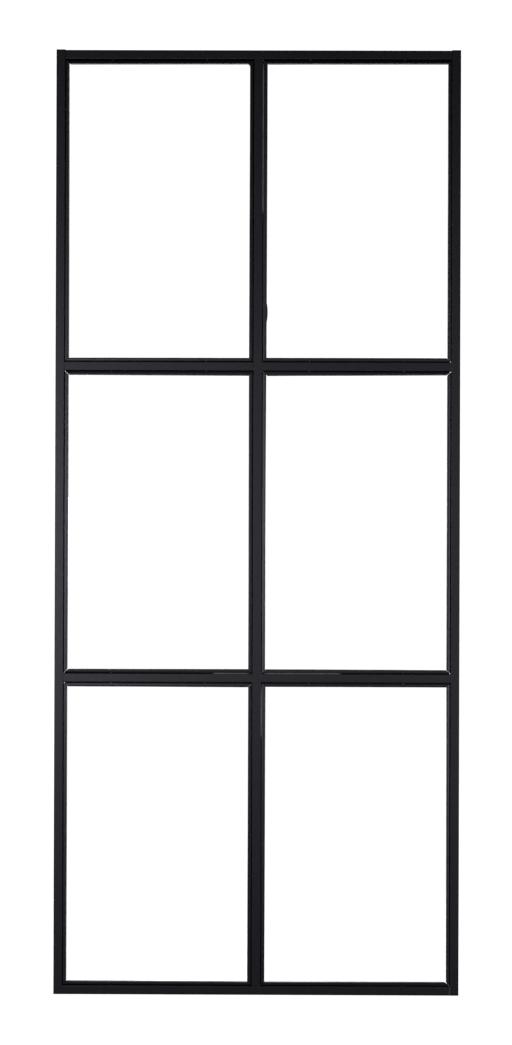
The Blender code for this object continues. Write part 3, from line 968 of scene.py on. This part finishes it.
def make_floor():
    """A round pale floor, lit from within so that it meets the backdrop without a line."""
    material, tree, shader, coords = new_material("studio_floor")
    mottle = noise_of(tree, coords, FLOOR_MOTTLE_SCALE)
    pale = blended(tree, mottle, grey(FLOOR_COLOUR * FLOOR_MOTTLED), grey(FLOOR_COLOUR))
    tree.links.new(pale, shader.inputs["Base Color"])
    shader.inputs["Roughness"].default_value = FLOOR_ROUGHNESS
    shader.inputs["Specular IOR Level"].default_value = 0.0
    shader.inputs["Emission Color"].default_value = WHITE
    shader.inputs["Emission Strength"].default_value = FLOOR_GLOW
    away = add_node(tree, "ShaderNodeVectorMath", {0: coords}, operation="LENGTH").outputs["Value"]
    far = ranged(tree, away, (FLOOR_FADE_FROM, FLOOR_FADE_TO), 0.0, 1.0)
    glow = add_node(tree, "ShaderNodeEmission", {"Strength": BACKDROP_BRIGHTNESS})
    mixed = add_node(tree, "ShaderNodeMixShader", {0: far})
    tree.links.new(shader.outputs[0], mixed.inputs[1])
    tree.links.new(glow.outputs[0], mixed.inputs[2])
    tree.links.new(mixed.outputs[0], tree.nodes["Material Output"].inputs["Surface"])
    solid = bmesh.new()
    bmesh.ops.create_circle(solid, cap_ends=True, segments=FLOOR_SEGMENTS, radius=FLOOR_RADIUS)
    floor = staged("floor", solid, material)
    floor.location.z = cad_box[0].z - FLOOR_DROP
    floor.visible_glossy = False
    floor.visible_diffuse = False


def make_backdrop():
    """A pale dome far round the studio, which shows behind the part and through its glass."""
    material = bpy.data.materials.new("backdrop")
    material.use_nodes = True
    tree = material.node_tree
    tree.nodes.remove(tree.nodes["Principled BSDF"])
    glow = add_node(tree, "ShaderNodeEmission", {"Strength": BACKDROP_BRIGHTNESS})
    tree.links.new(glow.outputs["Emission"], tree.nodes["Material Output"].inputs["Surface"])
    solid = bmesh.new()
    bmesh.ops.create_icosphere(solid, subdivisions=BACKDROP_SUBDIVISIONS, radius=BACKDROP_RADIUS)
    bmesh.ops.reverse_faces(solid, faces=solid.faces)
    dome = staged("backdrop", solid, material)
    dome.visible_diffuse = False
    dome.visible_glossy = False
    dome.visible_shadow = False


def make_world():
    """What the surfaces reflect: a dim room, paler below, with a pale flat far to each side."""
    world = bpy.data.worlds.new("studio")
    bpy.context.scene.world = world
    world.use_nodes = True
    tree = world.node_tree
    way = add_node(tree, "ShaderNodeTexCoord").outputs["Generated"]
    parts = add_node(tree, "ShaderNodeSeparateXYZ", {"Vector": way}).outputs
    height = ranged(tree, parts["Z"], WORLD_HORIZON, WORLD_BELOW, WORLD_ABOVE)
    sideways = joined(tree, "ABSOLUTE", parts["X"])
    flats = ranged(tree, sideways, (SIDE_GLOW_FROM, SIDE_GLOW_FULL), 0.0, SIDE_GLOW)
    background = tree.nodes["Background"]
    background.inputs["Color"].default_value = WORLD_COLOUR
    tree.links.new(joined(tree, "ADD", height, flats), background.inputs["Strength"])


def make_light(name, place, size, power, aim):
    """A softbox that the camera doesn't see, aimed at a point; one size makes it round."""
    data = bpy.data.lights.new(name, "AREA")
    if isinstance(size, tuple):
        data.shape = "RECTANGLE"
        data.size, data.size_y = size
    else:
        data.shape = "DISK"
        data.size = size
    data.energy = power
    data.color = LIGHT_COLOUR
    light = bpy.data.objects.new(name, data)
    bpy.context.scene.collection.objects.link(light)
    light.location = place
    light.rotation_euler = (Vector(aim) - Vector(place)).to_track_quat("-Z", "Y").to_euler()
    light.visible_camera = False
    light.visible_transmission = False


def make_lights():
    """Two softboxes straight in front of the part, one above it and three behind it."""
    make_light("key", KEY_PLACE, KEY_SIZE, KEY_POWER, (KEY_PLACE[0], 0.0, KEY_PLACE[2]))
    make_light("fill", FILL_PLACE, FILL_SIZE, FILL_POWER, (FILL_PLACE[0], 0.0, FILL_PLACE[2]))
    make_light("top", TOP_PLACE, TOP_SIZE, TOP_POWER, AIM)
    make_light("back", BACK_PLACE, BACK_SIZE, BACK_POWER, AIM)
    for number, place in enumerate(REAR_PLACES):
        make_light(f"rear_{number}", place, REAR_SIZE, REAR_POWER, AIM)


def make_camera():
    data = bpy.data.cameras.new("camera")
    data.sensor_width = SENSOR
    data.lens = CAMERA_FOCAL_PIXELS * SENSOR / PHOTO_HEIGHT
    data.clip_end = CAMERA_REACH
    camera = bpy.data.objects.new("camera", data)
    bpy.context.scene.collection.objects.link(camera)
    turn = Matrix.Rotation(math.radians(CAMERA_YAW), 4, "Z")
    turn @= Matrix.Rotation(math.radians(CAMERA_PITCH), 4, "X")
    turn @= Matrix.Rotation(math.radians(CAMERA_ROLL), 4, "Y")
    level = Matrix.Rotation(math.pi / 2, 4, "X")
    camera.matrix_world = Matrix.Translation(CAMERA_PLACE) @ turn @ level
    bpy.context.scene.camera = camera
    bpy.context.scene.view_settings.view_transform = "Standard"


make_camera()
make_world()
make_backdrop()
make_floor()
make_lights()
finishes = make_finishes()
dress_nodes(finishes)
for pane in PANES:
    make_gasket(pane, finishes["rubber"])
    for side_name in SIDES:
        make_bead(pane, side_name, finishes["bead"], finishes["cut_steel"])
for number, (pane, side_name, height) in enumerate(CLIPS, start=1):
    make_clip(number, pane, side_name, height, finishes["black_steel"])
# Pale strips in four joints: painted highlights of the bars' rounded edges
for number, (pane, side_name, begins, ends) in enumerate(HIGHLIGHT_STRIPS, start=1):
    make_joint_strip(number, pane, side_name, begins, ends, finishes["highlight_paint"])
make_fillet(finishes["rubber"])
make_welds(finishes["frame"], finishes["bare_weld"])
